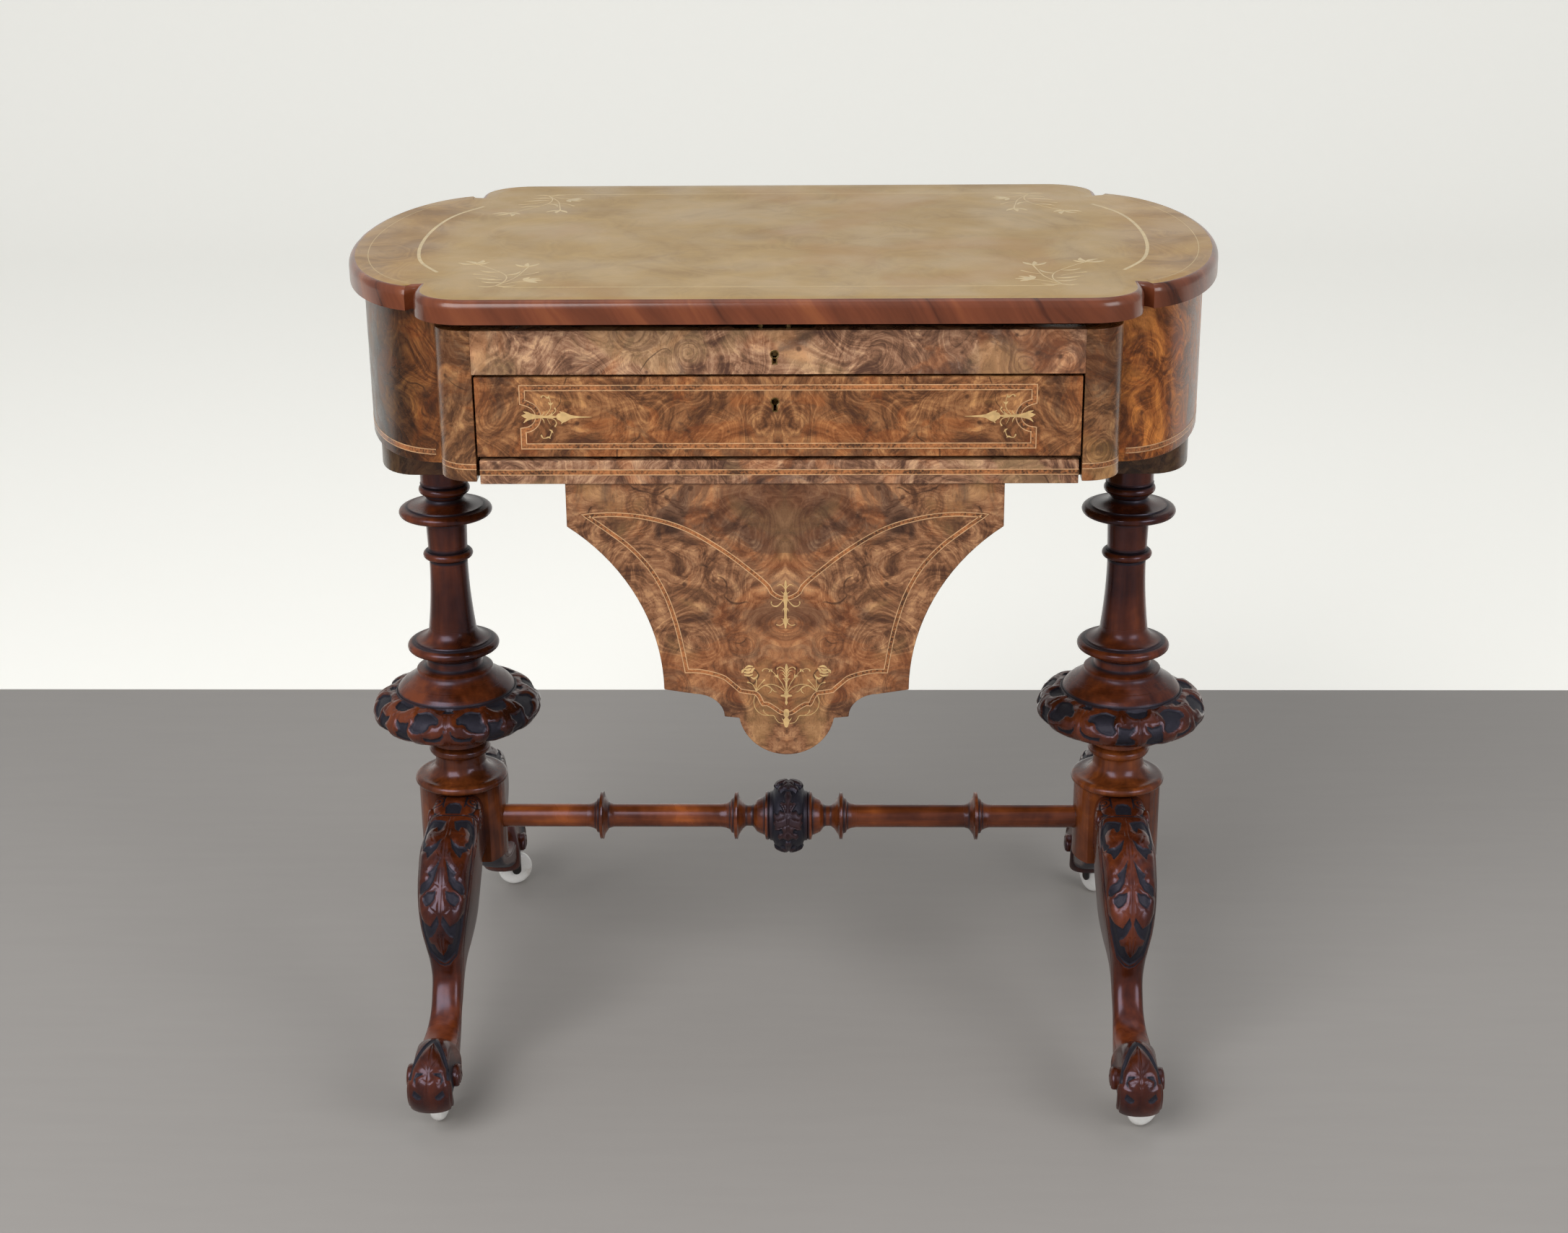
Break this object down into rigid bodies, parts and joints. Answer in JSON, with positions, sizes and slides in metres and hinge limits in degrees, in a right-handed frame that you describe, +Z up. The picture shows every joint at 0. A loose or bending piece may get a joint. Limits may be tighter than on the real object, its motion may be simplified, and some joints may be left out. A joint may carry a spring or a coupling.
{
  "type": "work table",
  "caption": "Veneered sewing table with a hinged top, a drawer, a sliding work box below, turned columns joined by a stretcher, scrolled legs and castors.",
  "frame": {"origin": "on the floor, under the middle of the table", "axes": "+Z up, +X to the right, +Y to the back; the front with the keyholes faces -Y"},
  "size_m": [0.735, 0.514, 0.71],
  "materials": {
    "top_veneer": "faded walnut veneer, waxed",
    "burr_walnut": "burr walnut veneer, polished",
    "polished_mahogany": "stained and French polished",
    "carved_dark": "stained and polished carving",
    "plain_wood": "planed, thinly polished",
    "brass": "dull brass",
    "iron": "dark, lightly worn",
    "ceramic": "white glaze"
  },
  "bodies": {
    "table": {"end_shell_left": "burr_walnut", "end_shell_right": "burr_walnut", "end_floors": "plain_wood", "post_front_left": "burr_walnut", "post_front_right": "burr_walnut", "back_posts": "burr_walnut", "lock_rail": "burr_walnut", "back_board": "plain_wood", "side_boards": "plain_wood", "tray_floor": "plain_wood", "tray_dividers": "polished_mahogany", "drawer_runners": "plain_wood", "box_ledges": "plain_wood", "case_hinge_leaves": "brass", "case_hinge_screws": "brass", "top_lock_case": "brass", "top_keyhole_lining": "brass", "bearer_left": "burr_walnut", "bearer_right": "burr_walnut", "column_left": "polished_mahogany", "column_right": "polished_mahogany", "collar_left": "carved_dark", "collar_right": "carved_dark", "block_left": "polished_mahogany", "block_right": "polished_mahogany", "stretcher": "polished_mahogany", "leg_front_left": "polished_mahogany", "leg_front_right": "polished_mahogany", "leg_back_left": "polished_mahogany", "leg_back_right": "polished_mahogany", "castor_plates": "iron"},
    "top": {"top_board": "top_veneer", "top_edge_band": "polished_mahogany", "top_hinge_leaves": "brass", "top_hinge_screws": "brass", "lock_prongs": "brass"},
    "top_lock_bolt": {"top_lock_bolt": "brass"},
    "drawer": {"drawer_front": "burr_walnut", "drawer_sides": "plain_wood", "drawer_back": "plain_wood", "drawer_bottom": "plain_wood", "drawer_lock_case": "brass", "drawer_keyhole_lining": "brass"},
    "drawer_lock_bolt": {"drawer_lock_bolt": "brass"},
    "work_box": {"box_rail": "burr_walnut", "box_slides": "plain_wood", "box_front_panel": "burr_walnut", "box_back_panel": "burr_walnut", "box_side_left": "plain_wood", "box_side_right": "plain_wood", "box_bottom": "plain_wood"},
    "fork_front_left": {"castor_fork_front_left": "iron"},
    "wheel_front_left": {"castor_wheel_front_left": "ceramic"},
    "fork_front_right": {"castor_fork_front_right": "iron"},
    "wheel_front_right": {"castor_wheel_front_right": "ceramic"},
    "fork_back_left": {"castor_fork_back_left": "iron"},
    "wheel_back_left": {"castor_wheel_back_left": "ceramic"},
    "fork_back_right": {"castor_fork_back_right": "iron"},
    "wheel_back_right": {"castor_wheel_back_right": "ceramic"}
  },
  "joints": [
    {"name": "top_hinge", "type": "hinge", "parent": "table", "child": "top", "pos_m": [0, 0.2182, 0.69185], "axis": [-1, 0, 0], "range_deg": [0, 100]},
    {"name": "top_lock_slide", "type": "slide", "parent": "table", "child": "top_lock_bolt", "axis": [1, 0, 0], "range_m": [0, 0.005]},
    {"name": "drawer_slide", "type": "slide", "parent": "table", "child": "drawer", "axis": [0, -1, 0], "range_m": [0, 0.3]},
    {"name": "drawer_lock_slide", "type": "slide", "parent": "drawer", "child": "drawer_lock_bolt", "axis": [0, 0, 1], "range_m": [0, 0.005]},
    {"name": "work_box_slide", "type": "slide", "parent": "table", "child": "work_box", "axis": [0, -1, 0], "range_m": [0, 0.25]},
    {"name": "swivel_front_left", "type": "hinge", "parent": "table", "child": "fork_front_left", "pos_m": [-0.2935, -0.222, 0.0375], "axis": [0, 0, 1], "continuous": true},
    {"name": "roll_front_left", "type": "hinge", "parent": "fork_front_left", "child": "wheel_front_left", "pos_m": [-0.29176, -0.21215, 0.0175], "axis": [-0.9848, 0.1736, 0], "continuous": true},
    {"name": "swivel_front_right", "type": "hinge", "parent": "table", "child": "fork_front_right", "pos_m": [0.2935, -0.222, 0.0375], "axis": [0, 0, 1], "continuous": true},
    {"name": "roll_front_right", "type": "hinge", "parent": "fork_front_right", "child": "wheel_front_right", "pos_m": [0.30116, -0.21557, 0.0175], "axis": [-0.6428, 0.766, 0], "continuous": true},
    {"name": "swivel_back_left", "type": "hinge", "parent": "table", "child": "fork_back_left", "pos_m": [-0.2935, 0.222, 0.0375], "axis": [0, 0, 1], "continuous": true},
    {"name": "roll_back_left", "type": "hinge", "parent": "fork_back_left", "child": "wheel_back_left", "pos_m": [-0.2841, 0.22542, 0.0175], "axis": [-0.342, 0.9397, 0], "continuous": true},
    {"name": "swivel_back_right", "type": "hinge", "parent": "table", "child": "fork_back_right", "pos_m": [0.2935, 0.222, 0.0375], "axis": [0, 0, 1], "continuous": true},
    {"name": "roll_back_right", "type": "hinge", "parent": "fork_back_right", "child": "wheel_back_right", "pos_m": [0.2985, 0.21334, 0.0175], "axis": [0.866, 0.5, 0], "continuous": true}
  ]
}
